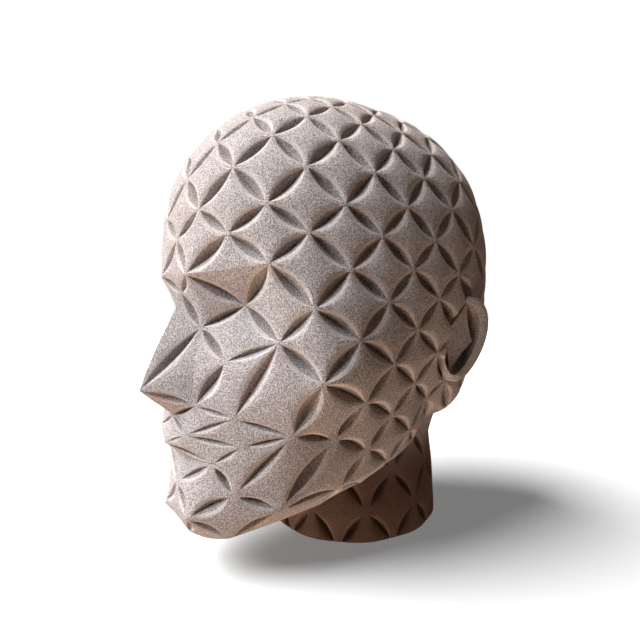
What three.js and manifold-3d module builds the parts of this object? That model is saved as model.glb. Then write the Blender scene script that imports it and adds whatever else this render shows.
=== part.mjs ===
// A bald, life-size head on a short neck, cut flat below, carved from one block of stone.
// Its surface is a net of diamonds, and a pointed, leaf-shaped groove is cut along every line of the net.
// Millimetres, +Z up. The face looks towards -Y, its own left side is +X, and the origin is the middle
// of the flat underside.
import * as THREE from 'three';
import Module from 'manifold-3d';
import { mergeVertices } from 'three/addons/utils/BufferGeometryUtils.js';

// Head and neck
const faceHeight = 223;
const chinLift = 18;
const headWidth = 156;
const headLength = 188;
const skullCentreY = -25;
const skullCentreZ = 147;
const skullSquareness = 2.38;
const skullTaper = 0.12;
const neckWidth = 96;
const neckLength = 104;
const neckWaist = 4;
const neckWaistZ = 50;
const neckFootZ = 22;
const neckFlare = 13;
const neckFlareZ = 76;

// Forms that are blended into the skull: a face, two cheekbones, two jaw bars, two lumps behind the ears
const faceForm = { centre: [0, -55, 98], radii: [62, 63, 75] };
const cheekboneForm = { centre: [41, -73, 108], radii: [23, 28, 24] };
const behindEarForm = { centre: [45, 12, 80], radii: [22, 22, 13] };
const jawCorner = new THREE.Vector3(41, -22, 60);
const jawFront = new THREE.Vector3(14, -97, 33);
const jawRadius = 17;
const faceSoftness = 20;
const jawSoftness = 18;
const behindEarSoftness = 6;

// Net of diamonds. Columns are counted from the middle of the face, half a diamond each.
const columns = 16;
const sideColumn = 8;
const napeColumn = 11;
const backColumn = 12;
const upperRows = 6;
const jawRow = 8;
const lastRow = 11;
const rowStretch = 0.203;
const rowZeroZ = 160;
const poleTilt = THREE.MathUtils.degToRad(-4.5);
const columnSkew = THREE.MathUtils.degToRad(1.9);

// Lower rows are spaced along paths that run down the head's form, found by rays from a sinking origin
const pathSteps = 90;
const lowerOrigin = new THREE.Vector3(0, -8, 95);
const originSunkAt = 0.42;
const lowestRay = THREE.MathUtils.degToRad(-77);
const jawEdgeRay = THREE.MathUtils.degToRad(-38);
const napeCrowding = 1.36;

// Grooves: half-width and depth as shares of the length of their line, and of the angle at its ends
const grooveHalfWidth = 0.14;
const neckGrooveHalfWidth = 0.11;
const grooveSlope = 1.15;
const grooveCornerShare = 0.42;
const grooveSteps = 3;
const shortGroove = 17;
const pillow = 0.03;

// Net of the neck
const neckColumns = 10;
const neckRows = 7;
const neckRowHeight = 20;
const neckTopZ = 97;

// Ears
const earHeight = 46;
const earWidth = 30;
const earMiddle = new THREE.Vector3(77.8, 2.5, 111);
const earLean = THREE.MathUtils.degToRad(11);
const earFlare = THREE.MathUtils.degToRad(14);
const earTip = THREE.MathUtils.degToRad(9);
const earNarrowing = 0.2;
const earRimShift = 8;
const earRimAbove = 0.6;
const earFrontSink = 18;
const earSinkAngle = THREE.MathUtils.degToRad(212);
const earSinkFocus = 3;
const earQuarterSteps = 5;

// Rings of an ear, from its root out round the rim: shares of its outline and heights above its plane
const earRings = [[0.6, -17], [0.74, -7], [0.97, -4.5], [1, -2], [0.88, 0], [0.7, -0.7]];
const earMiddleHeight = 0.5;

// The hollow that is cut into an ear leaves one diamond between four grooves
const hollowShare = 0.71;
const hollowFloor = -3.5;
const hollowTop = 14;
const diamondBow = 0.13;
const diamondSwell = 0.5;
const earGroove = 5.5;

const stone = new THREE.MeshStandardMaterial({ color: 0x9d8f84, roughness: 0.9, metalness: 0 });
const crownZ = chinLift + faceHeight;
const frontY = skullCentreY - headLength / 2;
const halfStep = Math.PI / columns;
const wasm = await Module();
wasm.setup();

// The plain form of the head, as a distance that is negative inside the stone

function ellipsoid(p, form) {
  const radii = new THREE.Vector3(...form.radii);
  const scaled = new THREE.Vector3(...form.centre).negate().add(p).divide(radii);
  const reach = scaled.length();
  if (reach < 1e-9) return -Math.min(...form.radii);
  return reach * (reach - 1) / scaled.divide(radii).length();
}

// The skull is a little boxier than an ellipsoid, and wider behind than in front
function skullForm(p) {
  const y = (p.y - skullCentreY) / (headLength / 2);
  const x = p.x / (headWidth / 2 * (1 + skullTaper * y));
  const z = (p.z - skullCentreZ) / (crownZ - skullCentreZ);
  const sum = [x, y, z].reduce((total, share) => total + Math.abs(share) ** skullSquareness, 0);
  return (sum ** (1 / skullSquareness) - 1) * headWidth / 2;
}

function bar(p, from, to, radius) {
  const along = new THREE.Vector3().subVectors(to, from);
  const offset = new THREE.Vector3().subVectors(p, from);
  const t = THREE.MathUtils.clamp(offset.dot(along) / along.lengthSq(), 0, 1);
  return offset.addScaledVector(along, -t).length() - radius;
}

function blend(a, b, softness) {
  const near = Math.max(softness - Math.abs(a - b), 0) / softness;
  return Math.min(a, b) - near * near * softness / 4;
}

function headForm(point) {
  const p = new THREE.Vector3(Math.abs(point.x), point.y, point.z);
  const jaw = bar(p, jawCorner, jawFront, jawRadius);
  const cheeks = blend(ellipsoid(p, faceForm), ellipsoid(p, cheekboneForm), faceSoftness);
  const front = blend(cheeks, jaw, jawSoftness);
  const whole = blend(skullForm(p), front, faceSoftness);
  return blend(whole, ellipsoid(p, behindEarForm), behindEarSoftness);
}

function surfacePoint(origin, direction) {
  const at = new THREE.Vector3();
  const inside = (t) => headForm(at.copy(origin).addScaledVector(direction, t)) < 0;
  let far = 190;
  while (!inside(far - 2)) far -= 2;
  let near = far - 2;
  for (let i = 0; i < 24; i += 1) {
    const middle = (near + far) / 2;
    if (inside(middle)) near = middle;
    else far = middle;
  }
  return origin.clone().addScaledVector(direction, near);
}

// Places of the net's points

function columnAngle(column) {
  return column * halfStep - columnSkew * Math.sin(2 * column * halfStep);
}

function upperPoint(rowsUp, column) {
  const rise = 2 * Math.atan(Math.exp(rowStretch * rowsUp)) - Math.PI / 2;
  const back = THREE.MathUtils.smoothstep(Math.abs(column), sideColumn, backColumn);
  const tilt = poleTilt * THREE.MathUtils.lerp(Math.min(1, rowsUp), Math.min(1, rowsUp / 4), back);
  const angle = columnAngle(column);
  const direction = new THREE.Vector3(
    Math.sin(angle) * Math.cos(rise), -Math.cos(angle) * Math.cos(rise), Math.sin(rise));
  direction.applyAxisAngle(new THREE.Vector3(1, 0, 0), -tilt);
  return surfacePoint(new THREE.Vector3(0, skullCentreY, rowZeroZ), direction);
}

function lowerPath(column) {
  const path = [];
  const angle = columnAngle(column);
  for (let i = 0; i <= pathSteps; i += 1) {
    const t = i / pathSteps;
    const drop = lowestRay * t;
    const sink = THREE.MathUtils.smoothstep(t, 0, originSunkAt);
    const origin = new THREE.Vector3(0, skullCentreY, rowZeroZ).lerp(lowerOrigin, sink);
    const direction = new THREE.Vector3(
      Math.sin(angle) * Math.cos(drop), -Math.cos(angle) * Math.cos(drop), Math.sin(drop));
    path.push(surfacePoint(origin, direction));
  }
  return path;
}

const paths = new Map();

// In front of the ear the rows divide the path above and below the edge of the jaw evenly; behind it
// they grow closer towards its end
function lowerPoint(row, column) {
  const around = Math.abs(column);
  if (!paths.has(around)) paths.set(around, lowerPath(around));
  const path = paths.get(around);
  const lengths = [0];
  for (let i = 1; i <= pathSteps; i += 1) {
    lengths.push(lengths[i - 1] + path[i].distanceTo(path[i - 1]));
  }
  const whole = lengths[pathSteps];
  const toEdge = lengths[Math.round(pathSteps * jawEdgeRay / lowestRay)];
  const jawReach = row <= jawRow
    ? toEdge * row / jawRow
    : toEdge + (whole - toEdge) * (row - jawRow) / (lastRow - jawRow);
  const backReach = whole * (1 - (1 - row / lastRow) ** napeCrowding);
  const back = THREE.MathUtils.smoothstep(around, sideColumn, napeColumn);
  const reach = THREE.MathUtils.lerp(jawReach, backReach, back);
  let k = 1;
  while (k < pathSteps && lengths[k] < reach) k += 1;
  const t = (reach - lengths[k - 1]) / (lengths[k] - lengths[k - 1]);
  const point = path[k - 1].clone().lerp(path[k], t);
  return new THREE.Vector3(Math.sign(column) * point.x, point.y, point.z);
}

// Face points by row and column: distance from the middle, distance behind the forehead, and height as a
// share of the face. Eyes sit at half the height, the nose ends at 0.27, and the mouth is at 0.18.
const facePoints = {
  '1,1': [13, -2, 0.562],
  '1,3': [50, 17, 0.578],
  '2,0': [0, 2.5, 0.525],
  '2,2': [31, 18, 0.5],
  '3,1': [11.5, 6, 0.455],
  '3,3': [50, 22, 0.43],
  '4,0': [0, -18, 0.33],
  '4,2': [28, 9, 0.39],
  '5,1': [17, 0, 0.3],
  '6,0': [0, -3, 0.27],
  '6,2': [33, 10, 0.28],
  '7,1': [13, -3, 0.24],
  '7,3': [50, 29, 0.245],
  '8,0': [0, -7, 0.216],
  '8,2': [34, 13, 0.222],
  '9,1': [23, 5, 0.184],
  '10,0': [0, -1, 0.128],
  '10,2': [29, 12, 0.12],
  '11,1': [11.5, -2.5, 0.066],
  '11,3': [41, 29, 0.085],
  '12,0': [0, 5, 0.008],
  '12,2': [21, 14, 0.015],
};

// Diamonds of the face that are folded, across or down, and how sharply
const folds = {
  '1,2': ['across', 0.8],
  '2,1': ['down', 0.3],
  '3,0': ['down', 0.9],
  '4,1': ['down', 0.7],
  '5,0': ['down', 0.7],
  '6,1': ['down', 0.3],
  '9,0': ['across', 0.6],
  '11,2': ['down', 0.6],
};

// Rows 4, 5, 8 and 9 are there only between the cheeks, so the rows of the side are counted without them
function sideRow(row) {
  if (row < 4) return row;
  return row < 8 ? row - 2 : row - 4;
}

function wrap(column, count) {
  const full = 2 * count;
  return ((column + count) % full + full) % full - count;
}

// A net holds its points, the diamonds between them and the lines along the diamonds' sides.
// A point's share of roundness says how far its lines follow a curve: little on the face and the jaw's edge.
const flatRound = 0.15;

function newNet(halfWidth) {
  return { halfWidth, points: new Map(), cells: [], lines: new Map() };
}

function addPoint(net, name, position, round) {
  net.points.set(name, { name, position, round, normal: new THREE.Vector3(), index: net.points.size });
}

const headNet = newNet(grooveHalfWidth);
const jawNetRow = jawRow + 4;

function headPlace(row, column) {
  const place = facePoints[[row, Math.abs(column)].join()];
  if (place) {
    const [side, behind, share] = place;
    return new THREE.Vector3(Math.sign(column) * side, frontY + behind, chinLift + share * faceHeight);
  }
  if (row >= 0) return lowerPoint(sideRow(row), column);
  return upperPoint(-row + Math.max(0, -row - upperRows), column);
}

function headPoint(row, column) {
  let around = wrap(column, columns);
  let level = Math.abs(around) > 2 && (row === 5 || row === 9) ? row - 2 : row;
  if (level < -upperRows - 2) [level, around] = [-99, 0];
  const name = [level, around].join();
  if (!headNet.points.has(name)) {
    const isJawEdge = level === jawNetRow && Math.abs(around) <= sideColumn;
    const isFlat = isJawEdge || [level, Math.abs(around)].join() in facePoints;
    addPoint(headNet, name, headPlace(level, around), isFlat ? flatRound : 1);
  }
  return headNet.points.get(name);
}

// Diamonds have four corners, from the top one clockwise as seen from outside
function addCell(net, corners, fold = ['across', 0]) {
  net.cells.push({ corners, fold });
}

function isInserted(row, column) {
  return Math.abs(column) > 2 && (row === 4 || row === 5 || row === 8 || row === 9);
}

for (let row = -upperRows + 1; row < lastRow + 4; row += 1) {
  for (let column = -columns; column < columns; column += 1) {
    if ((row + column) % 2 === 0 || isInserted(row, column)) continue;
    const isMerged = Math.abs(column) > 3 && (row === 3 || row === 7);
    const isEdge = row === jawNetRow && Math.abs(column) < sideColumn;
    const fold = isEdge ? ['across', 1] : folds[[row, Math.abs(column)].join()];
    addCell(headNet, [headPoint(row - 1, column), headPoint(row, column + 1),
      headPoint(row + (isMerged ? 3 : 1), column), headPoint(row, column - 1)], fold);
  }
}

// Above row -6 the columns pair up, and the last ring closes on the pole
const pairRow = -upperRows;
for (let column = -columns; column < columns; column += 4) {
  const apex = headPoint(pairRow - 1, column + 2);
  addCell(headNet, [apex, headPoint(pairRow, column + 2), headPoint(pairRow + 1, column + 1),
    headPoint(pairRow, column)]);
  addCell(headNet, [apex, headPoint(pairRow, column + 4), headPoint(pairRow + 1, column + 3),
    headPoint(pairRow, column + 2)]);
  addCell(headNet, [headPoint(pairRow - 2, column), headPoint(pairRow - 1, column + 2),
    headPoint(pairRow, column), headPoint(pairRow - 1, column - 2)]);
  addCell(headNet, [headPoint(pairRow - 3, 0), headPoint(pairRow - 2, column + 4),
    headPoint(pairRow - 1, column + 2), headPoint(pairRow - 2, column)]);
}

// The neck has a coarser net of its own, and ends inside the head
const neckNet = newNet(neckGrooveHalfWidth);

function neckPoint(row, column) {
  const around = wrap(column, neckColumns);
  const name = [row, around].join();
  if (!neckNet.points.has(name)) {
    const z = neckTopZ - (row - 1) * neckRowHeight;
    const foot = neckWaist * THREE.MathUtils.smoothstep(-z, -neckWaistZ, -neckFootZ);
    const flare = neckFlare * THREE.MathUtils.smoothstep(z, neckWaistZ, neckFlareZ);
    const angle = around * Math.PI / neckColumns;
    const halfWidth = neckWidth / 2 - neckWaist + foot + flare;
    const halfLength = neckLength / 2 - neckWaist + foot;
    const place = new THREE.Vector3(halfWidth * Math.sin(angle), -halfLength * Math.cos(angle), z);
    addPoint(neckNet, name, place, 1);
  }
  return neckNet.points.get(name);
}

for (let row = 2; row <= neckRows; row += 1) {
  for (let column = -neckColumns; column < neckColumns; column += 1) {
    if ((row + column) % 2 === 0) continue;
    addCell(neckNet, [neckPoint(row - 1, column), neckPoint(row, column + 1),
      neckPoint(row + 1, column), neckPoint(row, column - 1)]);
  }
}

// Lines of the net: each is a curve between two points that leaves them along the surface

function netLine(net, a, b) {
  const [from, to] = a.index < b.index ? [a, b] : [b, a];
  const name = `${from.name}|${to.name}`;
  if (!net.lines.has(name)) {
    const along = to.position.clone().sub(from.position);
    const round = Math.min(from.round, to.round);
    const third = (start, end, normal, sign) => start.clone().multiplyScalar(2).add(end)
      .addScaledVector(normal, -round * sign * along.dot(normal)).divideScalar(3);
    const curve = new THREE.CubicBezierCurve3(from.position,
      third(from.position, to.position, from.normal, 1),
      third(to.position, from.position, to.normal, -1), to.position);
    net.lines.set(name, { from, to, curve, length: along.length(), tightest: Math.PI });
  }
  return net.lines.get(name);
}

function joinLines(net) {
  for (const { corners } of net.cells) {
    corners.forEach((corner, i) => {
      const next = corners[(i + 1) % 4].position.clone().sub(corner.position).normalize();
      const last = corners[(i + 3) % 4].position.clone().sub(corner.position).normalize();
      corner.normal.add(last.cross(next));
    });
  }
  for (const point of net.points.values()) point.normal.normalize();
  for (const cell of net.cells) {
    const [top, right, bottom, left] = cell.corners;
    cell.sides = [netLine(net, top, right), netLine(net, right, bottom),
      netLine(net, left, bottom), netLine(net, top, left)];
    cell.corners.forEach((corner, i) => {
      const next = cell.corners[(i + 1) % 4];
      const last = cell.corners[(i + 3) % 4];
      const angle = next.position.clone().sub(corner.position)
        .angleTo(last.position.clone().sub(corner.position));
      for (const line of [netLine(net, corner, next), netLine(net, corner, last)]) {
        line.tightest = Math.min(line.tightest, angle);
      }
    });
  }
  for (const line of net.lines.values()) {
    const share = Math.min(net.halfWidth, Math.tan(grooveCornerShare * line.tightest) / 4);
    line.halfWidth = share * line.length;
    line.steps = line.length < shortGroove ? 2 : grooveSteps;
  }
}

// A diamond's surface is spanned by its four lines: u runs from left to right, v from the top down

function sidePoint(cell, side, t) {
  const line = cell.sides[side];
  const starts = [0, 1, 3, 0];
  return line.curve.getPoint(line.from === cell.corners[starts[side]] ? t : 1 - t);
}

function cellPoint(cell, u, v) {
  const [top, right, bottom, left] = cell.corners.map((corner) => corner.position);
  const [way, sharpness] = cell.fold;
  const across = u + v <= 1 ? u * v : (1 - u) * (1 - v);
  const down = u >= v ? v * (1 - u) : u * (1 - v);
  const crease = sharpness * (way === 'across' ? across : -down);
  const sum = right.clone().add(left).sub(top).sub(bottom).multiplyScalar(crease);
  sum.addScaledVector(sidePoint(cell, 0, u), 1 - v).addScaledVector(sidePoint(cell, 2, u), v);
  sum.addScaledVector(sidePoint(cell, 3, v), 1 - u).addScaledVector(sidePoint(cell, 1, v), u);
  sum.addScaledVector(top, -(1 - u) * (1 - v)).addScaledVector(right, -u * (1 - v));
  sum.addScaledVector(bottom, -u * v).addScaledVector(left, -(1 - u) * v);
  return sum;
}

function cellNormal(cell, u, v) {
  const step = 1e-3;
  const acrossU = cellPoint(cell, u + step, v).sub(cellPoint(cell, u - step, v));
  const acrossV = cellPoint(cell, u, v + step).sub(cellPoint(cell, u, v - step));
  return acrossV.cross(acrossU).normalize();
}

// Where the rim of a groove lies on a diamond: beside its line, square to it
function rimPlace(cell, side, t) {
  const line = cell.sides[side];
  const offset = line.halfWidth * 4 * t * (1 - t);
  const [u, v] = [[t, 0], [1, t], [t, 1], [0, t]][side];
  const step = 1e-3;
  const stepU = cellPoint(cell, u + step, v).sub(cellPoint(cell, u - step, v)).divideScalar(2 * step);
  const stepV = cellPoint(cell, u, v + step).sub(cellPoint(cell, u, v - step)).divideScalar(2 * step);
  const [along, inward] = side % 2 === 0 ? [stepU, stepV] : [stepV, stepU];
  const sign = side === 0 || side === 3 ? 1 : -1;
  const lean = inward.dot(along) / along.lengthSq();
  const square = inward.clone().addScaledVector(along, -lean);
  const reach = sign * offset / square.length();
  return side % 2 === 0 ? [u - reach * lean, v + reach] : [u + reach, v - reach * lean];
}

// Solid of a carved net; an open rim is closed by a fan to the nearer of the two ends
function carvedSolid(net, ends) {
  const vertices = [];
  const triangles = [];
  const addVertex = (p) => {
    vertices.push(p.x, p.y, p.z);
    return vertices.length / 3 - 1;
  };
  const addTriangle = (a, b, c) => {
    if (a !== b && b !== c && c !== a) triangles.push(a, b, c);
  };
  joinLines(net);
  for (const point of net.points.values()) point.vertex = addVertex(point.position);
  for (const line of net.lines.values()) {
    line.valley = [line.from.vertex];
    line.walks = [];
    for (let i = 1; i < line.steps; i += 1) {
      const t = i / line.steps;
      const depth = grooveSlope * line.halfWidth * 4 * t * (1 - t);
      const normal = line.from.normal.clone().lerp(line.to.normal, t).normalize();
      line.valley.push(addVertex(line.curve.getPoint(t).addScaledVector(normal, -depth)));
    }
    line.valley.push(line.to.vertex);
  }
  for (const cell of net.cells) {
    const border = [];
    for (const [side, isBackwards] of [[3, false], [2, false], [1, true], [0, true]]) {
      const line = cell.sides[side];
      const startCorner = [0, 1, 3, 0][side];
      const valley = [...line.valley];
      if (line.from !== cell.corners[startCorner]) valley.reverse();
      const rim = valley.map((vertex, i) => {
        if (i === 0 || i === line.steps) return vertex;
        const [u, v] = rimPlace(cell, side, i / line.steps);
        return addVertex(cellPoint(cell, u, v));
      });
      if (isBackwards) {
        valley.reverse();
        rim.reverse();
      }
      for (let i = 0; i < line.steps; i += 1) {
        addTriangle(valley[i], valley[i + 1], rim[i + 1]);
        addTriangle(valley[i], rim[i + 1], rim[i]);
      }
      line.walks.push(valley);
      border.push(...rim.slice(0, -1));
    }
    const size = cell.sides.reduce((sum, side) => sum + side.length / 4, 0);
    const swell = cellNormal(cell, 0.5, 0.5).multiplyScalar(pillow * size);
    const middle = addVertex(cellPoint(cell, 0.5, 0.5).add(swell));
    border.forEach((vertex, i) => addTriangle(vertex, border[(i + 1) % border.length], middle));
  }
  const endVertices = ends.map(addVertex);
  for (const line of net.lines.values()) {
    if (line.walks.length > 1) continue;
    const [valley] = line.walks;
    const away = ends.map((end) => end.distanceTo(line.from.position));
    const end = endVertices[away.indexOf(Math.min(...away))];
    for (let i = 0; i < line.steps; i += 1) addTriangle(valley[i + 1], valley[i], end);
  }
  return solidFrom(vertices, triangles);
}

function solidFrom(vertProperties, triVerts) {
  const mesh = new wasm.Mesh({
    numProp: 3, vertProperties: new Float32Array(vertProperties), triVerts: new Uint32Array(triVerts),
  });
  return new wasm.Manifold(mesh);
}

function geometrySolid(geometry) {
  geometry.deleteAttribute('normal');
  geometry.deleteAttribute('uv');
  const merged = mergeVertices(geometry, 1e-4);
  return solidFrom(merged.attributes.position.array, merged.index.array);
}

function solidGeometry(solid) {
  const mesh = solid.getMesh();
  const geometry = new THREE.BufferGeometry();
  geometry.setAttribute('position', new THREE.BufferAttribute(mesh.vertProperties, 3));
  geometry.setIndex(new THREE.BufferAttribute(mesh.triVerts, 1));
  geometry.computeVertexNormals();
  return geometry;
}

const cutDepth = 100;
const cutBlock = new THREE.BoxGeometry(400, 400, cutDepth).translate(0, 0, -cutDepth / 2);

// An ear's outline, or a smaller ring inside it; the rings lie closer together in front than behind
function earOutline(angle, share) {
  const x = share * earWidth / 2 * Math.cos(angle) * (1 + earNarrowing * Math.sin(angle));
  const y = (1 - (1 - share) * earRimAbove) * earHeight / 2 * Math.sin(angle);
  return new THREE.Vector2(x - (1 - share) * earRimShift, y);
}

const earUp = new THREE.Vector3(Math.sin(earTip), Math.sin(earLean), Math.cos(earLean)).normalize();
const earOut = new THREE.Vector3(Math.cos(earFlare), -Math.sin(earFlare), 0);
earOut.projectOnPlane(earUp).normalize();
const earBack = new THREE.Vector3().crossVectors(earUp, earOut).normalize();
const earSteps = 4 * earQuarterSteps;
const earAngles = Array.from({ length: earSteps }, (_, i) => 2 * Math.PI * i / earSteps);

function earPoint(place, height) {
  return earMiddle.clone().addScaledVector(earBack, place.x).addScaledVector(earUp, place.y)
    .addScaledVector(earOut, height);
}

// The rim sinks into the head in front, most of all just above the lobe, but the hollow's edge doesn't
function earSink(angle, share) {
  const deep = earFrontSink * Math.max(0, Math.cos(angle - earSinkAngle)) ** earSinkFocus;
  return deep * THREE.MathUtils.smoothstep(share, earRings[5][0], earRings[4][0]);
}

// Rings of points run from the bottom outwards, up and in again to the top
function ringSolid(rings, bottom, top) {
  const faces = [];
  const bottomIndex = rings.length * earSteps;
  const lastRing = bottomIndex - earSteps;
  for (let i = 0; i < earSteps; i += 1) {
    const next = (i + 1) % earSteps;
    for (let ring = 0; ring < lastRing; ring += earSteps) {
      const above = ring + earSteps;
      faces.push(ring + i, ring + next, above + next, ring + i, above + next, above + i);
    }
    faces.push(bottomIndex, next, i, bottomIndex + 1, lastRing + i, lastRing + next);
  }
  const geometry = new THREE.BufferGeometry().setFromPoints([...rings.flat(), bottom, top]);
  geometry.setIndex(faces);
  return geometrySolid(geometry);
}

function earShell() {
  const rings = earRings.map(([share, height]) => earAngles.map(
    (angle) => earPoint(earOutline(angle, share), height - earSink(angle, share)),
  ));
  const middle = new THREE.Vector2();
  return ringSolid(rings, earPoint(middle, earRings[0][1]), earPoint(middle, earMiddleHeight));
}

// What is cut out of an ear and of the cheek in front of it
function earHollow() {
  const heart = earOutline(0, hollowShare).lerp(earOutline(Math.PI, hollowShare), 0.5);
  const edge = [];
  const valley = [];
  earAngles.forEach((angle, i) => {
    const quarter = Math.floor(i / earQuarterSteps);
    const t = i / earQuarterSteps - quarter;
    const bow = 4 * t * (1 - t);
    const end = earOutline((quarter + 1) * Math.PI / 2, hollowShare);
    const side = earOutline(quarter * Math.PI / 2, hollowShare).lerp(end, t).lerp(heart, diamondBow * bow);
    const between = earOutline(angle, hollowShare).lerp(side, 0.5);
    edge.push(earPoint(side, hollowFloor));
    valley.push(earPoint(between, hollowFloor - earGroove * bow));
  });
  const [rim, top] = [hollowFloor, hollowTop].map((height) => earAngles.map(
    (angle) => earPoint(earOutline(angle, hollowShare), height),
  ));
  return ringSolid([edge, valley, rim, top], earPoint(heart, hollowFloor + diamondSwell),
    earPoint(heart, hollowTop));
}

const ear = earShell();
const hollow = earHollow();
const headSolid = carvedSolid(headNet, [new THREE.Vector3(0, -8, 55)]);
const neckSolid = carvedSolid(neckNet, [new THREE.Vector3(0, 0, 95), new THREE.Vector3(0, 0, -60)]);
const carved = headSolid.add(neckSolid).add(ear).add(ear.mirror([1, 0, 0]))
  .subtract(hollow).subtract(hollow.mirror([1, 0, 0])).subtract(geometrySolid(cutBlock));

const head = new THREE.Mesh(solidGeometry(carved), stone);
head.name = 'carved_head';
const sculpture = new THREE.Group();
sculpture.add(head);

export default sculpture;
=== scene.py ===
# Carved stone head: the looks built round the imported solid.
# The same net of diamonds as in the solid, cut finely: every groove gets its leaf shape, its valley
# and softly broken edges, and the stone gets its grain. Millimetres while it is built, metres at the end.
import math
import bpy
import bmesh
from mathutils import Matrix, Vector


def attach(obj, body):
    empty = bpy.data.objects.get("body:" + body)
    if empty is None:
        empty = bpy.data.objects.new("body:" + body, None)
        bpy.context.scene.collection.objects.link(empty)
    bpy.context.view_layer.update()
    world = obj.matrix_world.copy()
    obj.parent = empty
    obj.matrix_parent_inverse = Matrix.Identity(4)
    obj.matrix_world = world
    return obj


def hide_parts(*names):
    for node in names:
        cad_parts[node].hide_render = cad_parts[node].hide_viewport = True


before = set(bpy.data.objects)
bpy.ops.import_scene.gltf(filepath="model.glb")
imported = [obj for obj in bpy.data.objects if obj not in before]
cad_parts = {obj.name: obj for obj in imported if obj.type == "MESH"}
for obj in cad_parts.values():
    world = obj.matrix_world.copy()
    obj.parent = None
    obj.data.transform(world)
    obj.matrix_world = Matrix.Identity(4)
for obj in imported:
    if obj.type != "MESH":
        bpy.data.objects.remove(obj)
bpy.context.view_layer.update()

mm = 0.001


def smoothstep(x, low, high):
    t = min(1, max(0, (x - low) / (high - low)))
    return t * t * (3 - 2 * t)


def lerp(a, b, t):
    return a + (b - a) * t


# Materials

def linearColour(hexText):
    values = [int(hexText[i:i + 2], 16) / 255 for i in (1, 3, 5)]
    return tuple(v / 12.92 if v <= 0.04045 else ((v + 0.055) / 1.055) ** 2.4 for v in values) + (1.0,)


def addNode(tree, kind, settings=None, links=None):
    # Settings go by name, or by number where sockets share a name: a colour mix has its colours on 6 and 7
    node = tree.nodes.new(kind)
    for name, value in (settings or {}).items():
        if isinstance(name, str) and hasattr(node, name):
            setattr(node, name, value)
        else:
            node.inputs[name].default_value = value
    for socket, source in (links or {}).items():
        tree.links.new(source, node.inputs[socket])
    return node


sandstoneLook = {
    "grain": 0.58,        # mm between grains: real ones are about half of that and wouldn't show
    "grainFrom": 0.43, "grainTo": 0.57,   # noise below the first is dark grain, above the second bare stone
    "grainHeight": 0.7,   # mm
    "cloud": 34,          # mm, slow change of tone
    "roughness": 0.92, "refraction": 1.45,
    "blasted": {"pale": "#cdc6c2", "cloud": "#c2bab6", "dark": "#4c433e", "grains": 0.66, "bump": 1.4},
    # Groove walls: painted darker and browner, painted shade in the grooves
    "cut": {"pale": "#b4aaa5", "cloud": "#aba19b", "dark": "#4b423c", "grains": 0.7, "bump": 1.3},
    # Rims: painted paler than the walls, a painted highlight, with the grain worn faint
    "wornHighlit": {"pale": "#c6beb9", "cloud": "#bdb4ae", "dark": "#7a706a", "grains": 0.6, "bump": 0.6},
    "paintedShade": "#9a8171",    # painted shade: multiplies the colours of the foot, darker and warmer
    "shadeGrains": 0.4,    # the painted shade lets that much of the grain show
    "shadeLow": 30, "shadeHigh": 72,   # mm above the table: full painted shade below, none above
}


def sandstone(name, finish, paintedShade):
    material = bpy.data.materials.new(name)
    material.use_nodes = True
    tree = material.node_tree
    tree.nodes.clear()
    look = sandstoneLook
    place = addNode(tree, "ShaderNodeTexCoord").outputs["Object"]
    grains = addNode(tree, "ShaderNodeTexNoise", {"Scale": 1 / (look["grain"] * mm), "Detail": 2.0,
                                                  "Roughness": 0.6}, {"Vector": place})
    clouds = addNode(tree, "ShaderNodeTexNoise", {"Scale": 1 / (look["cloud"] * mm), "Detail": 4.0,
                                                  "Roughness": 0.55}, {"Vector": place})
    cloudMix = addNode(tree, "ShaderNodeMix", {"data_type": "RGBA", 6: linearColour(finish["pale"]),
                                               7: linearColour(finish["cloud"])},
                       {0: clouds.outputs["Fac"]})
    spread = addNode(tree, "ShaderNodeMapRange", {"From Min": look["grainFrom"],
                                                  "From Max": look["grainTo"],
                                                  "To Min": finish["grains"], "To Max": 0.0},
                     {"Value": grains.outputs["Fac"]})
    colour = addNode(tree, "ShaderNodeMix", {"data_type": "RGBA", 7: linearColour(finish["dark"])},
                     {0: spread.outputs["Result"], 6: cloudMix.outputs[2]})
    # Painted shade on the foot: below the jaw the colour is multiplied darker and warmer and the grain
    # fades, where the jaw shades the neck
    if paintedShade:
        height = addNode(tree, "ShaderNodeSeparateXYZ", None, {"Vector": place})
        share = addNode(tree, "ShaderNodeMapRange", {"interpolation_type": "SMOOTHSTEP",
                                                     "From Min": look["shadeHigh"] * mm,
                                                     "From Max": look["shadeLow"] * mm},
                        {"Value": height.outputs["Z"]})
        fading = addNode(tree, "ShaderNodeMapRange", {"To Min": finish["grains"],
                                                      "To Max": finish["grains"] * look["shadeGrains"]},
                         {"Value": share.outputs["Result"]})
        tree.links.new(fading.outputs["Result"], spread.inputs["To Min"])
        colour = addNode(tree, "ShaderNodeMix", {"data_type": "RGBA", "blend_type": "MULTIPLY",
                                                 7: linearColour(look["paintedShade"])},
                         {0: share.outputs["Result"], 6: colour.outputs[2]})
    bump = addNode(tree, "ShaderNodeBump", {"Strength": finish["bump"],
                                            "Distance": look["grainHeight"] * mm},
                   {"Height": grains.outputs["Fac"]})
    shader = addNode(tree, "ShaderNodeBsdfPrincipled", {"Roughness": look["roughness"],
                                                        "IOR": look["refraction"]},
                     {"Base Color": colour.outputs[2], "Normal": bump.outputs["Normal"]})
    addNode(tree, "ShaderNodeOutputMaterial", None, {"Surface": shader.outputs["BSDF"]})
    return material


# Fine sandstone in three finishes. The diamonds were blasted with grit: matt and sandy to the eye.
# The grooves' walls have the same grain, painted a little darker and browner: painted shade in the grooves.
# Their rims are painted nearly as pale as the diamonds, a painted highlight beside the shaded walls, and
# worn smooth, so the grain hardly shows. Below the jaw the foot has painted shade: darker, warmer and
# smoother.
finishNames = ("blasted", "cut", "wornHighlit")
stones = []
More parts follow.
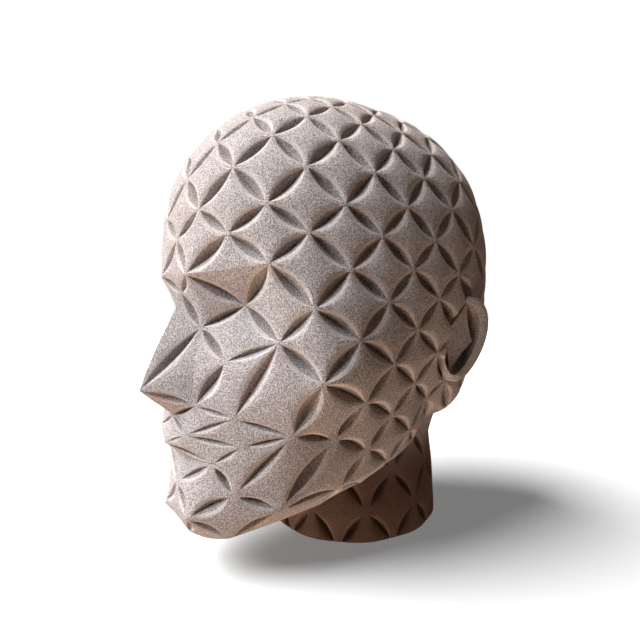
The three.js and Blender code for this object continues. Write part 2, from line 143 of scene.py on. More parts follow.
# Each finish once plain and once with the painted shade of the foot
for foot in ("", "PaintedShade"):
    for finish in finishNames:
        stones.append(sandstone(finish + foot + "Sandstone", sandstoneLook[finish], bool(foot)))
print("stone mixed")


# The plain form of the head, as a distance that is negative inside the stone

head = {
    "faceHeight": 223, "chinLift": 18, "width": 156, "length": 188,   # chinLift: chin above the table
    "skullY": -25, "skullZ": 147,   # middle of the skull
    "squareness": 2.38,             # 2 would be an ellipsoid
    "taper": 0.12,                  # how much wider than its middle the skull is behind
}
# Lumps that are blended with the skull: middle and radii. The jaw is a bar from below the ear to the chin.
lumps = {
    "face": ((0, -55, 98), (62, 63, 75)),
    "cheekbone": ((41, -73, 108), (23, 28, 24)),
    "behindEar": ((45, 12, 80), (22, 22, 13)),
    "jawStart": Vector((41, -22, 60)), "jawEnd": Vector((14, -97, 33)), "jawRadius": 17,
    "softness": 20, "jawSoftness": 18, "behindEarSoftness": 6,
}
# Rays that find the surface: they walk in from the start in steps, then halve the last step
rays = {"start": 190, "step": 2, "halvings": 24}

crownZ = head["chinLift"] + head["faceHeight"]
frontY = head["skullY"] - head["length"] / 2


def ellipsoidForm(p, centre, radii):
    sx, sy, sz = [(p[i] - centre[i]) / radii[i] for i in range(3)]
    reach = math.sqrt(sx * sx + sy * sy + sz * sz)
    steep = math.sqrt((sx / radii[0]) ** 2 + (sy / radii[1]) ** 2 + (sz / radii[2]) ** 2)
    return -min(radii) if reach < 1e-9 else reach * (reach - 1) / steep


def skullForm(p):
    y = (p[1] - head["skullY"]) / (head["length"] / 2)
    x = p[0] / (head["width"] / 2 * (1 + head["taper"] * y))
    z = (p[2] - head["skullZ"]) / (crownZ - head["skullZ"])
    n = head["squareness"]
    return ((abs(x) ** n + abs(y) ** n + abs(z) ** n) ** (1 / n) - 1) * head["width"] / 2


def barForm(p, start, end, radius):
    along = end - start
    offset = p - start
    t = min(1, max(0, offset.dot(along) / along.length_squared))
    return (offset - along * t).length - radius


def blendForms(a, b, softness):
    near = max(softness - abs(a - b), 0) / softness
    return min(a, b) - near * near * softness / 4


def headForm(point):
    p = Vector((abs(point.x), point.y, point.z))
    face = ellipsoidForm(p, *lumps["face"])
    cheekbone = ellipsoidForm(p, *lumps["cheekbone"])
    behindEar = ellipsoidForm(p, *lumps["behindEar"])
    jaw = barForm(p, lumps["jawStart"], lumps["jawEnd"], lumps["jawRadius"])
    front = blendForms(blendForms(face, cheekbone, lumps["softness"]), jaw, lumps["jawSoftness"])
    whole = blendForms(skullForm(p), front, lumps["softness"])
    return blendForms(whole, behindEar, lumps["behindEarSoftness"])


def surfacePoint(origin, direction):
    far = rays["start"]
    while headForm(origin + direction * (far - rays["step"])) >= 0:
        far -= rays["step"]
    near = far - rays["step"]
    for _ in range(rays["halvings"]):
        middle = (near + far) / 2
        if headForm(origin + direction * middle) < 0:
            near = middle
        else:
            far = middle
    return origin + direction * near


# The head's net. Column 0 is the middle of the face, and row 0 runs round the head over the forehead.
# The face has more rows than the side of the head: beside it the rows merge in two places.

headNet = {
    "columns": 16,             # on each side of the face's middle
    "faceColumns": 3, "sideColumn": 8, "napeColumn": 11, "backColumn": 12,
    "upperRows": 6, "starRows": 2,   # in the star the columns pair up; it closes on one point at the crown
    "mergeRows": (4, 8),       # at each of them the side has two rows less than the face
    "jawRow": 8, "lastRow": 11,      # of the side
    "rowStretch": 0.203,       # keeps the diamonds nearly square up to the crown
    "middle": Vector((0, head["skullY"], 160)),
    "poleTilt": math.radians(-4.5), "tiltRows": 4,
    "columnSkew": math.radians(1.9),
    "jawEdgeRay": math.radians(-38), "lowestRay": math.radians(-77), "pathSteps": 90,
    "lowMiddle": Vector((0, -8, 95)), "lowMiddleShare": 0.42,   # where rays start from that share down
    "napeCrowding": 1.36,      # rows lie closer together down the nape
    "flatRound": 0.15,         # how much a line bulges where it meets the face or the edge of the jaw
    "insides": [Vector((0, -8, 55))],   # the open lower edge is closed on this point, inside the neck
}
columns = headNet["columns"]
mergeRows = headNet["mergeRows"]
halfStep = math.pi / columns
faceRows = 2 * len(mergeRows)   # rows that only the face has
jawNetRow = headNet["jawRow"] + faceRows
crownRow = -99   # so far up that it is the pole itself


def columnAngle(column):
    return column * halfStep - headNet["columnSkew"] * math.sin(2 * column * halfStep)


def rayDirection(angle, rise):
    return Vector((math.sin(angle) * math.cos(rise), -math.cos(angle) * math.cos(rise), math.sin(rise)))


def upperPoint(rowsUp, column):
    rise = 2 * math.atan(math.exp(headNet["rowStretch"] * rowsUp)) - math.pi / 2
    back = smoothstep(abs(column), headNet["sideColumn"], headNet["backColumn"])
    tilt = headNet["poleTilt"] * lerp(min(1, rowsUp), min(1, rowsUp / headNet["tiltRows"]), back)
    direction = Matrix.Rotation(-tilt, 3, "X") @ rayDirection(columnAngle(column), rise)
    return surfacePoint(headNet["middle"], direction)


paths = {}


def lowerPath(column):
    # The surface down one column, from row 0 to below the jaw
    if column not in paths:
        path = []
        for i in range(headNet["pathSteps"] + 1):
            t = i / headNet["pathSteps"]
            lowered = smoothstep(t, 0, headNet["lowMiddleShare"])
            origin = headNet["middle"].lerp(headNet["lowMiddle"], lowered)
            path.append(surfacePoint(origin, rayDirection(columnAngle(column), headNet["lowestRay"] * t)))
        paths[column] = path
    return paths[column]


def lowerPoint(row, column):
    around = abs(column)
    path = lowerPath(around)
    steps, jawRow, lastRow = headNet["pathSteps"], headNet["jawRow"], headNet["lastRow"]
    lengths = [0]
    for i in range(1, steps + 1):
        lengths.append(lengths[-1] + (path[i] - path[i - 1]).length)
    whole = lengths[steps]
    toEdge = lengths[round(steps * headNet["jawEdgeRay"] / headNet["lowestRay"])]
    if row <= jawRow:
        jawReach = toEdge * row / jawRow
    else:
        jawReach = toEdge + (whole - toEdge) * (row - jawRow) / (lastRow - jawRow)
    backReach = whole * (1 - (1 - row / lastRow) ** headNet["napeCrowding"])
    reach = lerp(jawReach, backReach, smoothstep(around, headNet["sideColumn"], headNet["napeColumn"]))
    k = 1
    while k < steps and lengths[k] < reach:
        k += 1
    point = path[k - 1].lerp(path[k], (reach - lengths[k - 1]) / (lengths[k] - lengths[k - 1]))
    return Vector((math.copysign(1, column) * point.x if column else 0, point.y, point.z))


# Face points: distance from the middle, distance behind the forehead, height as a share of the face
facePoints = {
    (1, 1): (13, -2, 0.562), (1, 3): (50, 17, 0.578),
    (2, 0): (0, 2.5, 0.525), (2, 2): (31, 18, 0.5),
    (3, 1): (11.5, 6, 0.455), (3, 3): (50, 22, 0.43),
    (4, 0): (0, -18, 0.33), (4, 2): (28, 9, 0.39),
    (5, 1): (17, 0, 0.3),
    (6, 0): (0, -3, 0.27), (6, 2): (33, 10, 0.28),
    (7, 1): (13, -3, 0.24), (7, 3): (50, 29, 0.245),
    (8, 0): (0, -7, 0.216), (8, 2): (34, 13, 0.222),
    (9, 1): (23, 5, 0.184),
    (10, 0): (0, -1, 0.128), (10, 2): (29, 12, 0.12),
    (11, 1): (11.5, -2.5, 0.066), (11, 3): (41, 29, 0.085),
    (12, 0): (0, 5, 0.008), (12, 2): (21, 14, 0.015),
}
# Diamonds that are folded along one of their diagonals, and how sharply
folds = {
    (1, 2): ("across", 0.8), (2, 1): ("down", 0.3), (3, 0): ("down", 0.9), (4, 1): ("down", 0.7),
    (5, 0): ("down", 0.7), (6, 1): ("down", 0.3), (9, 0): ("across", 0.6), (11, 2): ("down", 0.6),
}


class Net:
    def __init__(self, halfWidth, gap=None):
        self.halfWidth = halfWidth
        self.gap = gap
        self.points = {}
        self.cells = []
        self.lines = {}

    def add(self, name, place, roundness):
        point = {"place": place, "round": roundness, "normal": Vector(), "index": len(self.points)}
        self.points[name] = point

    def cell(self, corners, fold=None):
        self.cells.append({"corners": corners, "fold": fold or ("across", 0)})


def wrap(column, count):
    return (column + count) % (2 * count) - count


def sideRow(row):
    return row - 2 * sum(row >= merge for merge in mergeRows)


def headPlace(row, column):
    if (row, abs(column)) in facePoints:
        side, behind, share = facePoints[row, abs(column)]
        x = math.copysign(side, column) if column else 0
        return Vector((x, frontY + behind, head["chinLift"] + share * head["faceHeight"]))
    if row >= 0:
        return lowerPoint(sideRow(row), column)
    return upperPoint(-row + max(0, -row - headNet["upperRows"]), column)


def headPoint(net, row, column):
    around = wrap(column, columns)
    level = row - 2 if abs(around) >= headNet["faceColumns"] and row - 1 in mergeRows else row
    if level < -headNet["upperRows"] - headNet["starRows"]:
        level, around = crownRow, 0
    name = (level, around)
    if name not in net.points:
        jawEdge = level == jawNetRow and abs(around) <= headNet["sideColumn"]
        flat = jawEdge or (level, abs(around)) in facePoints
        net.add(name, headPlace(level, around), headNet["flatRound"] if flat else 1)
    return net.points[name]


def buildHeadNet():
    net = Net(groove["halfWidth"])

    def at(row, column):
        return headPoint(net, row, column)

    for row in range(-headNet["upperRows"] + 1, headNet["lastRow"] + faceRows):
        for column in range(-columns, columns):
            skipped = abs(column) >= headNet["faceColumns"] and (row in mergeRows or row - 1 in mergeRows)
            if skipped or (row + column) % 2 == 0:
                continue
            merged = abs(column) > headNet["faceColumns"] and row + 1 in mergeRows
            edge = row == jawNetRow and abs(column) < headNet["sideColumn"]
            fold = ("across", 1) if edge else folds.get((row, abs(column)))
            net.cell([at(row - 1, column), at(row, column + 1), at(row + (3 if merged else 1), column),
                      at(row, column - 1)], fold)
    pair = -headNet["upperRows"]
    for column in range(-columns, columns, 4):
        apex = at(pair - 1, column + 2)
        below = at(pair, column + 2)
        net.cell([apex, below, at(pair + 1, column + 1), at(pair, column)])
        net.cell([apex, at(pair, column + 4), at(pair + 1, column + 3), below])
        net.cell([at(pair - 2, column), apex, at(pair, column), at(pair - 1, column - 2)])
        net.cell([at(pair - 3, 0), at(pair - 2, column + 4), apex, at(pair - 2, column)])
    return net


# The neck's net is coarser and runs round an oval stub with a slight waist

neck = {
    "width": 96, "length": 104,      # of the foot
    "waist": 4, "waistZ": 50, "footZ": 22,
    "flare": 13, "flareZ": 76,       # the sides widen towards the jaw
    "columns": 10, "rows": 7, "rowHeight": 20, "topZ": 97,
    "insides": [Vector((0, 0, 95)), Vector((0, 0, -60))],   # the open ends are closed on these
}


def neckPoint(net, row, column):
    around = wrap(column, neck["columns"])
    name = (row, around)
    if name not in net.points:
        z = neck["topZ"] - (row - 1) * neck["rowHeight"]
        foot = neck["waist"] * smoothstep(z, neck["waistZ"], neck["footZ"])
        flare = neck["flare"] * smoothstep(z, neck["waistZ"], neck["flareZ"])
        angle = around * math.pi / neck["columns"]
        halfWidth = neck["width"] / 2 - neck["waist"] + foot + flare
        halfLength = neck["length"] / 2 - neck["waist"] + foot
        net.add(name, Vector((halfWidth * math.sin(angle), -halfLength * math.cos(angle), z)), 1)
    return net.points[name]


def buildNeckNet():
    net = Net(groove["neckHalfWidth"], groove["neckGap"])

    def at(row, column):
        return neckPoint(net, row, column)

    for row in range(2, neck["rows"] + 1):
        for column in range(-neck["columns"], neck["columns"]):
            if (row + column) % 2:
                net.cell([at(row - 1, column), at(row, column + 1),
                          at(row + 1, column), at(row, column - 1)])
    return net


# Lines of the net: each is a curve between two points that leaves them along the surface.
# A leaf-shaped groove follows every line.

groove = {
    "halfWidth": 0.14,       # share of the line's length
    "neckHalfWidth": 0.11,
    "cornerShare": 0.42,     # at a sharp corner: share of the corner that a groove may take
    "slope": 1.15,           # depth for a half-width of 1
    "hollow": 0.05,          # how far the walls are scooped, as a share of the depth
    "brokenEdge": 1.1,       # worn rim, mm
    "rimShare": 0.4,         # the rim takes at most that share of the half-width
    "skullGap": 0.035,       # plain stone between a tip and the net's point, as a share of the line
    "jawGap": 0.1,
    "neckGap": 0.13,
    "skullEndZ": 105, "jawStartZ": 60,
    "segment": 2.7,          # mm along the groove
    "fewest": 5, "most": 12,   # segments in one groove
    "pillow": 0.03,          # how far a diamond swells, as a share of its side
    "pillowRings": (0.34, 0.68),   # rings of points on a diamond: share of the way to its middle
}


def netLine(net, a, b):
    start, end = (a, b) if a["index"] < b["index"] else (b, a)
    name = (start["index"], end["index"])
    if name not in net.lines:
        startPlace, endPlace = start["place"], end["place"]
        along = endPlace - startPlace
        roundness = min(start["round"], end["round"])
        leaving = startPlace * 2 + endPlace - start["normal"] * roundness * along.dot(start["normal"])
        arriving = endPlace * 2 + startPlace + end["normal"] * roundness * along.dot(end["normal"])
        net.lines[name] = {"start": start, "end": end, "length": along.length,
                           "curve": [startPlace, leaving / 3, arriving / 3, endPlace],
                           "tightest": math.pi, "walks": []}
    return net.lines[name]


def curvePoint(curve, t):
    s = 1 - t
    early = curve[0] * (s * s * s) + curve[1] * (3 * s * s * t)
    return early + curve[2] * (3 * s * t * t) + curve[3] * (t * t * t)


def joinLines(net):
    for cell in net.cells:
        corners = cell["corners"]
        for i, corner in enumerate(corners):
            following = (corners[(i + 1) % 4]["place"] - corner["place"]).normalized()
            previous = (corners[(i + 3) % 4]["place"] - corner["place"]).normalized()
            corner["normal"] = corner["normal"] + previous.cross(following)
    for point in net.points.values():
        point["normal"].normalize()
    for cell in net.cells:
        top, right, bottom, left = corners = cell["corners"]
        cell["sides"] = [netLine(net, top, right), netLine(net, right, bottom),
                         netLine(net, left, bottom), netLine(net, top, left)]
        for i, corner in enumerate(corners):
            following, previous = corners[(i + 1) % 4], corners[(i + 3) % 4]
            angle = (following["place"] - corner["place"]).angle(previous["place"] - corner["place"])
            for line in (netLine(net, corner, following), netLine(net, corner, previous)):
                line["tightest"] = min(line["tightest"], angle)
    for line in net.lines.values():
        share = min(net.halfWidth, math.tan(groove["cornerShare"] * line["tightest"]) / 4)
        line["halfWidth"] = share * line["length"]
        count = min(groove["most"], max(groove["fewest"], round(line["length"] / groove["segment"])))
        middleZ = (line["start"]["place"].z + line["end"]["place"].z) / 2
        jawShare = smoothstep(middleZ, groove["skullEndZ"], groove["jawStartZ"])
        gap = net.gap or lerp(groove["skullGap"], groove["jawGap"], jawShare)
        line["stations"] = [gap + (1 - 2 * gap) * i / count for i in range(count + 1)]
        line["gap"] = gap


def swell(line, t):
    # Share of the groove's full width at a place along its line
    s = (t - line["gap"]) / (1 - 2 * line["gap"])
    return max(0, 4 * s * (1 - s))


# A diamond's surface is spanned by its four lines: u runs from the left line to the right, v downwards.
# Its corners are top, right, bottom and left, and its sides lie between the pairs of corners given here.

cornerPlaces = ((0, 0), (1, 0), (1, 1), (0, 1))
sideEnds = ((0, 1), (1, 2), (3, 2), (0, 3))


def placeOnSide(side, t):
    return ((t, 0), (1, t), (t, 1), (0, t))[side]


def runsWithSide(cell, side):
    return cell["sides"][side]["start"] is cell["corners"][sideEnds[side][0]]


def sidePoint(cell, side, t):
    return curvePoint(cell["sides"][side]["curve"], t if runsWithSide(cell, side) else 1 - t)


def cellPoint(cell, u, v):
    top, right, bottom, left = [corner["place"] for corner in cell["corners"]]
    way, sharpness = cell["fold"]
    across = u * v if u + v <= 1 else (1 - u) * (1 - v)
    down = v * (1 - u) if u >= v else u * (1 - v)
    crease = sharpness * (across if way == "across" else -down)
    point = (right + left - top - bottom) * crease
    point += sidePoint(cell, 0, u) * (1 - v) + sidePoint(cell, 2, u) * v
    point += sidePoint(cell, 3, v) * (1 - u) + sidePoint(cell, 1, v) * u
    point -= top * ((1 - u) * (1 - v))
    point -= right * (u * (1 - v))
    point -= bottom * (u * v)
    return point - left * ((1 - u) * v)


def cellSlopes(cell, u, v):
    step = 1e-3
    slopeU = (cellPoint(cell, u + step, v) - cellPoint(cell, u - step, v)) / (2 * step)
    slopeV = (cellPoint(cell, u, v + step) - cellPoint(cell, u, v - step)) / (2 * step)
    return slopeU, slopeV


def facePoint(cell, u, v):
    return cellPoint(cell, u, v) + cell["swelling"] * (16 * u * (1 - u) * v * (1 - v))


def rimPlaces(cell, side, t, offsets):
    # Places at given distances from a side, square to it
    u, v = placeOnSide(side, t)
    slopeU, slopeV = cellSlopes(cell, u, v)
    along, inward = (slopeU, slopeV) if side % 2 == 0 else (slopeV, slopeU)
    sign = 1 if side in (0, 3) else -1
    lean = inward.dot(along) / along.length_squared
    square = (inward - along * lean).length
    places = []
    for offset in offsets:
        reach = sign * offset / square
        places.append((u - reach * lean, v + reach) if side % 2 == 0 else (u + reach, v - reach * lean))
    return places


# Carving: every diamond with its half of the grooves round it, as points and faces of one mesh

class Carving:
    def __init__(self):
        self.places = []
        self.faces = []

    def addPlace(self, place):
        self.places.append(place)
        return len(self.places) - 1

    def addFace(self, finish, *corners):
        # Corners that fall together, as at a groove's tip, are one corner
        kept = [c for i, c in enumerate(corners) if c != corners[i - 1]]
        if len(set(kept)) >= 3:
            self.faces.append((kept, finish))


def layValley(carving, line):
    line["valley"] = []
    last = len(line["stations"]) - 1
    for i, t in enumerate(line["stations"]):
        depth = groove["slope"] * line["halfWidth"] * swell(line, t) if 0 < i < last else 0
        normal = line["start"]["normal"].lerp(line["end"]["normal"], t).normalized()
        bottom = carving.addPlace(curvePoint(line["curve"], t) - normal * depth)
        line["valley"].append((bottom, normal, depth))


def cutWall(carving, cell, side):
    # One wall of a groove: at each station the valley, the scoop, the shoulder, and the edge of the diamond
    line = cell["sides"][side]
    withSide = runsWithSide(cell, side)
    order = range(len(line["stations"]))
    wall = []
    for i in order if withSide else reversed(order):
        t = line["stations"][i] if withSide else 1 - line["stations"][i]
        bottom, normal, depth = line["valley"][i]
        if depth == 0:
            wall.append(((bottom,) * 4, placeOnSide(side, t)))
            continue
        halfWidth = line["halfWidth"] * swell(line, line["stations"][i])
        broken = min(groove["brokenEdge"], groove["rimShare"] * halfWidth)
        rimAt, edgeAt = rimPlaces(cell, side, t, (halfWidth, halfWidth + broken))
        rim = facePoint(cell, *rimAt)
        shoulder = rim + (carving.places[bottom] - rim).normalized() * broken
        scoop = (shoulder + carving.places[bottom]) / 2 - normal * groove["hollow"] * depth
        levels = [carving.addPlace(place) for place in (scoop, shoulder, facePoint(cell, *edgeAt))]
        wall.append(((bottom, *levels), edgeAt))
    return wall


def carveSides(carving, cell):
    # Carves the walls counter-clockwise and gives back the border of the diamond that they leave
    border = []
    for side, backwards in ((3, False), (2, False), (1, True), (0, True)):
        wall = cutWall(carving, cell, side)
        first, last = sideEnds[side]
        if backwards:
            wall.reverse()
            first, last = last, first
        for (here, _), (there, _) in zip(wall, wall[1:]):
            # The two lower strips of a wall take the painted groove shade, the strip at the rim the painted
            # highlight
            for k, finish in enumerate(("cut", "cut", "wornHighlit")):
                carving.addFace(finish, here[k], there[k], there[k + 1], here[k + 1])
        firstTip, lastTip = cell["corners"][first]["vertex"], cell["corners"][last]["vertex"]
        cell["sides"][side]["walks"].append([firstTip] + [levels[0] for levels, _ in wall] + [lastTip])
        border.append((firstTip, cornerPlaces[first]))
        border += [(levels[3], place) for levels, place in wall]
    return border


def fillDiamond(carving, cell, border):
    ring = [vertex for vertex, _ in border]
    for share in groove["pillowRings"]:
        inner = []
        for _, (u, v) in border:
            inner.append(carving.addPlace(facePoint(cell, lerp(u, 0.5, share), lerp(v, 0.5, share))))
        for i in range(len(ring)):
            j = (i + 1) % len(ring)
            carving.addFace("blasted", ring[i], ring[j], inner[j], inner[i])
        ring = inner
    middle = carving.addPlace(facePoint(cell, 0.5, 0.5))
    for i in range(len(ring)):
        carving.addFace("blasted", ring[i], ring[(i + 1) % len(ring)], middle)


def closeEnds(carving, net, insides):
    # A line with a diamond on one side only is part of the net's open edge: it is closed on a point inside
    ends = [carving.addPlace(inside) for inside in insides]
    for line in net.lines.values():
        if len(line["walks"]) > 1:
            continue
        away = [(inside - line["start"]["place"]).length for inside in insides]
        end = ends[away.index(min(away))]
        walk = line["walks"][0]
        for a, b in zip(walk, walk[1:]):
            carving.addFace("blasted", b, a, end)


def carveNet(net, insides):
    joinLines(net)
    carving = Carving()
    for point in net.points.values():
        point["vertex"] = carving.addPlace(point["place"])
    for line in net.lines.values():
        layValley(carving, line)
    for cell in net.cells:
        size = sum(side["length"] for side in cell["sides"]) / 4
        slopeU, slopeV = cellSlopes(cell, 0.5, 0.5)
        cell["swelling"] = slopeV.cross(slopeU).normalized() * groove["pillow"] * size
        fillDiamond(carving, cell, carveSides(carving, cell))
    closeEnds(carving, net, insides)
    return carving.places, carving.faces


# The ears: a shell of rings, and a hollow that is cut out of it and of the cheek in front of it

ear = {
    "height": 46, "width": 30, "middle": Vector((77.8, 2.5, 111)),
    "lean": math.radians(11), "flare": math.radians(14), "tip": math.radians(9),
    "narrowing": 0.2,        # how much wider the top is than the lobe
    "rimShift": 8,           # mm: rings lie closer together in front than behind
    "rimAbove": 0.6,         # width of the rim above and below, as a share of its width behind
    "frontSink": 18, "sinkAngle": math.radians(212), "sinkFocus": 3,   # the rim runs into the cheek there
    "sinkStart": 0.7, "sinkEnd": 0.88,   # shares of the outline between which the sink sets in
    "quarterSteps": 14,
    # Rings of the shell: share of the outline and height above the ear's middle plane
    "rim": [(0.6, -17), (0.74, -7), (0.93, -5.2), (0.985, -4), (1.0, -2.4), (0.99, -1.1), (0.95, -0.25),
            (0.88, 0), (0.8, -0.1), (0.74, -0.35), (0.7, -0.7)],
    "cap": 0.5,              # height of the shell's middle before it is hollowed
    "hollow": 0.71,          # share of the outline
    "hollowFloor": -3.5, "hollowTop": 14,
    "diamondBow": 0.13,      # how far the diamond's sides bow in
    "diamondRise": 0.5, "diamondRings": (0.75, 0.4),
    "groove": 5.5,           # mm deep
    # Rings of the four grooves: share of the way in to the diamond, and share of the depth
    "grooveRings": ((1, 0), (0.8, 0.4), (0.5, 1), (0.2, 0.4), (0, 0)),
}
earUp = Vector((math.sin(ear["tip"]), math.sin(ear["lean"]), math.cos(ear["lean"]))).normalized()
earOut = Vector((math.cos(ear["flare"]), -math.sin(ear["flare"]), 0))
earOut = (earOut - earUp * earOut.dot(earUp)).normalized()
earBack = earUp.cross(earOut).normalized()
earSteps = 4 * ear["quarterSteps"]
earAngles = [2 * math.pi * i / earSteps for i in range(earSteps)]


def earOutline(angle, share):
    x = share * ear["width"] / 2 * math.cos(angle) * (1 + ear["narrowing"] * math.sin(angle))
    y = (1 - (1 - share) * ear["rimAbove"]) * ear["height"] / 2 * math.sin(angle)
    return Vector((x - (1 - share) * ear["rimShift"], y))


def earPoint(flat, height):
    return ear["middle"] + earBack * flat.x + earUp * flat.y + earOut * height


def earSink(angle, share):
    deep = ear["frontSink"] * max(0, math.cos(angle - ear["sinkAngle"])) ** ear["sinkFocus"]
    return deep * smoothstep(share, ear["sinkStart"], ear["sinkEnd"])


def closeRings(rings, bottom, top, finishes):
    # Rings of points run from the bottom outwards, up and in again to the top, with a finish for each gap
    places = [p for ring in rings for p in ring] + [bottom, top]
    faces = []
    for k, finish in enumerate(finishes):
        for i in range(earSteps):
            j = (i + 1) % earSteps
            corners = [k * earSteps + i, k * earSteps + j, (k + 1) * earSteps + j, (k + 1) * earSteps + i]
            faces.append((corners, finish))
    last = (len(rings) - 1) * earSteps
    for i in range(earSteps):
        j = (i + 1) % earSteps
        faces.append(([len(places) - 2, j, i], "blasted"))
        faces.append(([len(places) - 1, last + i, last + j], "blasted"))
    return places, faces


def earShell():
    rings = [[earPoint(earOutline(a, share), height - earSink(a, share)) for a in earAngles]
             for share, height in ear["rim"]]
    root = earPoint(Vector((0, 0)), ear["rim"][0][1])
    return closeRings(rings, root, earPoint(Vector((0, 0)), ear["cap"]), ["blasted"] * (len(rings) - 1))


def earHollow():
    # It leaves one diamond between four grooves
    share, floor = ear["hollow"], ear["hollowFloor"]
    heart = earOutline(0, share).lerp(earOutline(math.pi, share), 0.5)
    middle = earPoint(heart, floor + ear["diamondRise"])
    rings = []
    for inward, deep in ear["grooveRings"]:
        ring = []
        for i, angle in enumerate(earAngles):
            quarter, t = divmod(i / ear["quarterSteps"], 1)
            bow = 4 * t * (1 - t)
            corners = [earOutline((quarter + k) * math.pi / 2, share) for k in (0, 1)]
            side = corners[0].lerp(corners[1], t).lerp(heart, ear["diamondBow"] * bow)
            flat = earOutline(angle, share).lerp(side, inward)
            ring.append(earPoint(flat, floor - ear["groove"] * bow * deep))
        rings.append(ring)
    diamond = [[p.lerp(middle, inward) for p in rings[0]] for inward in ear["diamondRings"]]
    mouth = [earPoint(earOutline(a, share), ear["hollowTop"]) for a in earAngles]
    # The ear's grooves take the painted groove shade too
    finishes = ["blasted"] * len(diamond) + ["cut"] * len(rings)
    mouthMiddle = earPoint(Vector((0, 0)), ear["hollowTop"])
    return closeRings(diamond + rings + [mouth], middle, mouthMiddle, finishes)


# The parts become one solid piece of stone

stoneBlock = {"reach": 200, "depth": 100}   # what is sawn off below the table
sharpAngle = math.radians(31)
weldDistance = 1e-7   # m


def meshObject(name, places, faces, mirrored=False, paintedShade=False):
    side = -1 if mirrored else 1
    mesh = bpy.data.meshes.new(name)
    mesh.from_pydata([(side * p.x * mm, p.y * mm, p.z * mm) for p in places], [],
                     [corners[::-1] if mirrored else corners for corners, finish in faces])
    for stone in stones:
        mesh.materials.append(stone)
    # Pieces with painted shade take the shaded copies of the finishes
    for polygon, (corners, finish) in zip(mesh.polygons, faces):
        polygon.material_index = finishNames.index(finish) + (len(finishNames) if paintedShade else 0)
    bm = bmesh.new()
    bm.from_mesh(mesh)
    bmesh.ops.remove_doubles(bm, verts=bm.verts, dist=weldDistance)
    bmesh.ops.triangulate(bm, faces=bm.faces)
    bm.to_mesh(mesh)
    bm.free()
    piece = bpy.data.objects.new(name, mesh)
    bpy.context.scene.collection.objects.link(piece)
    return piece


def joinSolid(base, tool, operation):
    modifier = base.modifiers.new(operation.lower(), "BOOLEAN")
    modifier.operation = operation
    modifier.solver = "MANIFOLD"
    modifier.object = tool
    depsgraph = bpy.context.evaluated_depsgraph_get()
    joined = bpy.data.meshes.new_from_object(base.evaluated_get(depsgraph))
    base.modifiers.clear()
    base.data = joined
    bpy.data.objects.remove(tool)


def sawnOff():
    reach, depth = stoneBlock["reach"], stoneBlock["depth"]
    places = [Vector((x, y, z)) for z in (-depth, 0) for y in (-reach, reach) for x in (-reach, reach)]
    faces = ([0, 2, 3, 1], [4, 5, 7, 6], [0, 1, 5, 4], [2, 6, 7, 3], [0, 4, 6, 2], [1, 3, 7, 5])
    return places, [(corners, "cut") for corners in faces]


headPiece = meshObject("carved_head_stone", *carveNet(buildHeadNet(), headNet["insides"]))
print("head net carved", len(headPiece.data.polygons))
# The neck carries the painted shade below the jaw
neckPiece = meshObject("neck", *carveNet(buildNeckNet(), neck["insides"]), paintedShade=True)
print("neck net carved", len(neckPiece.data.polygons))
joinSolid(headPiece, neckPiece, "UNION")
for mirrored in (False, True):
    joinSolid(headPiece, meshObject("ear", *earShell(), mirrored), "UNION")
    joinSolid(headPiece, meshObject("earHollow", *earHollow(), mirrored), "DIFFERENCE")
print("ears joined", len(headPiece.data.polygons))
# The sawn face takes the painted shade of the foot and of the groove walls
joinSolid(headPiece, meshObject("sawnOff", *sawnOff(), paintedShade=True), "DIFFERENCE")
print("foot sawn flat", len(headPiece.data.polygons))

headPiece.data.name = "carved_head_stone"
for polygon in headPiece.data.polygons:
    polygon.use_smooth = True
headPiece.data.set_sharp_from_angle(angle=sharpAngle)
weighted = headPiece.modifiers.new("evenShading", "WEIGHTED_NORMAL")
weighted.keep_sharp = True
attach(headPiece, "root")
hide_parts("carved_head")

# Studio: a sheet of grey paper on the floor, lit until it looks white, and a white dome far behind it.
# Both are only there for the eye and throw no light back: what a table gives to stone from below is a light
# of its own.
studio = {
    "floor": "#666666", "floorGlow": "#ffffff", "glow": 0.19,
    "dome": "#ffffff", "domeGlow": 1.0, "domeSides": 48, "domeRings": 14,
    "reach": 3.0, "domeShare": 0.98,   # m from the middle to the paper's edge, and the dome's share of it
    "roughness": 0.95,
    "air": "#ffe2cc", "airStrength": 0.01,
}


def stageMaterial(name, colour, glowColour, glow):
    # Matt seamless paper without sheen
    material = bpy.data.materials.new(name)
    material.use_nodes = True
    shader = material.node_tree.nodes["Principled BSDF"]
    shader.inputs["Base Color"].default_value = linearColour(colour)
    shader.inputs["Roughness"].default_value = studio["roughness"]
    shader.inputs["Specular IOR Level"].default_value = 0.0
    shader.inputs["Emission Color"].default_value = linearColour(glowColour)
    shader.inputs["Emission Strength"].default_value = glow
    return material


def stagePiece(name, material, places, faces):
    mesh = bpy.data.meshes.new(name)
    mesh.from_pydata(places, [], faces)
    mesh.materials.append(material)
    piece = bpy.data.objects.new(name, mesh)
    bpy.context.scene.collection.objects.link(piece)
    piece.visible_diffuse = False
    piece.visible_glossy = False
    piece.visible_shadow = False
    return piece


def paperSheet():
    reach = studio["reach"]
    corners = ((-1, -1), (1, -1), (1, 1), (-1, 1))
    return [Vector((x * reach, y * reach, 0)) for x, y in corners], [[0, 1, 2, 3]]


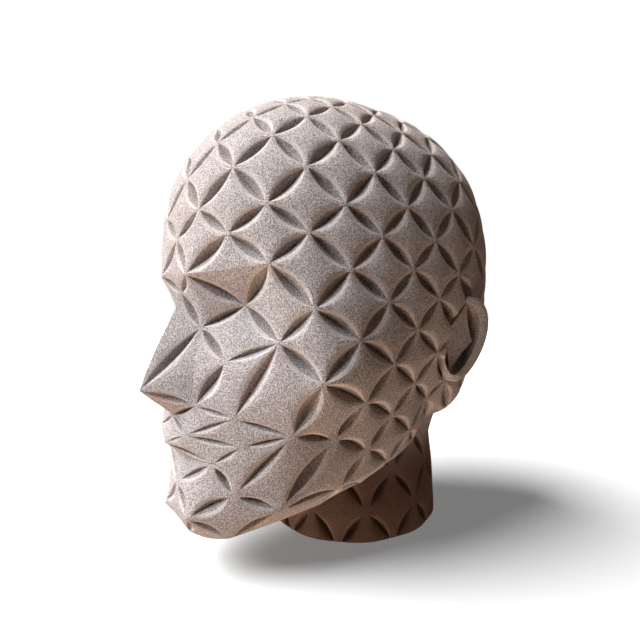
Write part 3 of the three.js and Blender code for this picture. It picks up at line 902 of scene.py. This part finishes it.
def whiteDome():
    radius = studio["reach"] * studio["domeShare"]
    around, high = studio["domeSides"], studio["domeRings"]
    places, faces = [Vector((0, 0, radius))], []
    for k in range(1, high + 1):
        fall = k / high * math.pi / 2
        ringRadius = radius * math.sin(fall)
        for i in range(around):
            turn = 2 * math.pi * i / around
            places.append(Vector((ringRadius * math.cos(turn), ringRadius * math.sin(turn),
                                  radius * math.cos(fall))))
    for i in range(around):
        faces.append([0, 1 + (i + 1) % around, 1 + i])
    for k in range(high - 1):
        for i in range(around):
            j = (i + 1) % around
            a, b = 1 + k * around, 1 + (k + 1) * around
            faces.append([a + i, a + j, b + j, b + i])
    return places, faces


floorPaper = stageMaterial("mattPaper", studio["floor"], studio["floorGlow"], studio["glow"])
paperFloor = stagePiece("paperFloor", floorPaper, *paperSheet())
domePaper = stageMaterial("litPaper", studio["dome"], studio["dome"], studio["domeGlow"])
stagePiece("whiteDome", domePaper, *whiteDome())

# Camera: close, at the height of the eyes, from the head's own front left
view = {"azimuth": 47.8, "elevation": 2.58, "distance": 0.2777, "target": Vector((0, -0.025, 0.1198)),
        "lens": 25.82, "sensor": 36.0, "shiftX": -0.0097, "clipStart": 0.01}


def viewAxes():
    a, e = math.radians(view["azimuth"]), math.radians(view["elevation"])
    toCamera = Vector((math.sin(a) * math.cos(e), -math.cos(a) * math.cos(e), math.sin(e)))
    toRight = Vector((math.cos(a), math.sin(a), 0))
    return toCamera, toRight, toCamera.cross(toRight)


toCamera, toRight, toTop = viewAxes()
cameraData = bpy.data.cameras.new("camera")
cameraData.lens = view["lens"]
cameraData.sensor_width = view["sensor"]
cameraData.shift_x = view["shiftX"]
cameraData.clip_start = view["clipStart"]
camera = bpy.data.objects.new("camera", cameraData)
camera.location = view["target"] + toCamera * view["distance"]
camera.rotation_euler = (-toCamera).to_track_quat("-Z", "Y").to_euler()
bpy.context.scene.collection.objects.link(camera)
bpy.context.scene.camera = camera

# Each light: where it comes from (right, up and near, as seen from the camera), strength, softness in
# degrees, colour, and what it lights. Soft light comes from the left and above, and the table's from below.
# The weak one behind keeps the back of the head readable. The paper has a strong light of its own, so that
# the stone throws one grey shadow on it and next to no tint.
lights = {
    "window": ((-0.72, 0.66, 0.38), 7.1, 34, "#f0f6ff", "stone"),
    "ceiling": ((-0.5, 0.85, -0.05), 4.1, 40, "#ffe9d8", "stone"),
    "tableGlow": ((-0.3, -0.9, 0.1), 4.4, 50, "#ffdec9", "stone"),
    "roomSide": ((0.8, 0.3, 0.5), 0.6, 60, "#ffdcc6", "stone"),
    "behind": ((0.1, 0.3, -0.95), 1.8, 50, "#fff4ea", "stone"),
    "paper": ((-0.65, 0.75, 0.1), 43.0, 50, "#ffffff", "paper"),
}
litOnly = {}
for name, piece in (("stone", headPiece), ("paper", paperFloor)):
    litOnly[name] = bpy.data.collections.new("only " + name)
    litOnly[name].objects.link(piece)


def softLight(name, origin, strength, softness, colour, lit):
    data = bpy.data.lights.new(name, "SUN")
    data.energy = strength
    data.angle = math.radians(softness)
    data.color = linearColour(colour)[:3]
    right, up, near = origin
    toLight = toRight * right + toTop * up + toCamera * near
    lamp = bpy.data.objects.new(name, data)
    lamp.rotation_euler = (-toLight).to_track_quat("-Z", "Y").to_euler()
    lamp.light_linking.receiver_collection = litOnly[lit]
    bpy.context.scene.collection.objects.link(lamp)


for name, light in lights.items():
    softLight(name, *light)

world = bpy.data.worlds.new("studioAir")
world.use_nodes = True
background = world.node_tree.nodes["Background"]
background.inputs["Color"].default_value = linearColour(studio["air"])
background.inputs["Strength"].default_value = studio["airStrength"]
bpy.context.scene.world = world
bpy.context.scene.view_settings.view_transform = "Standard"
print("studio lit")
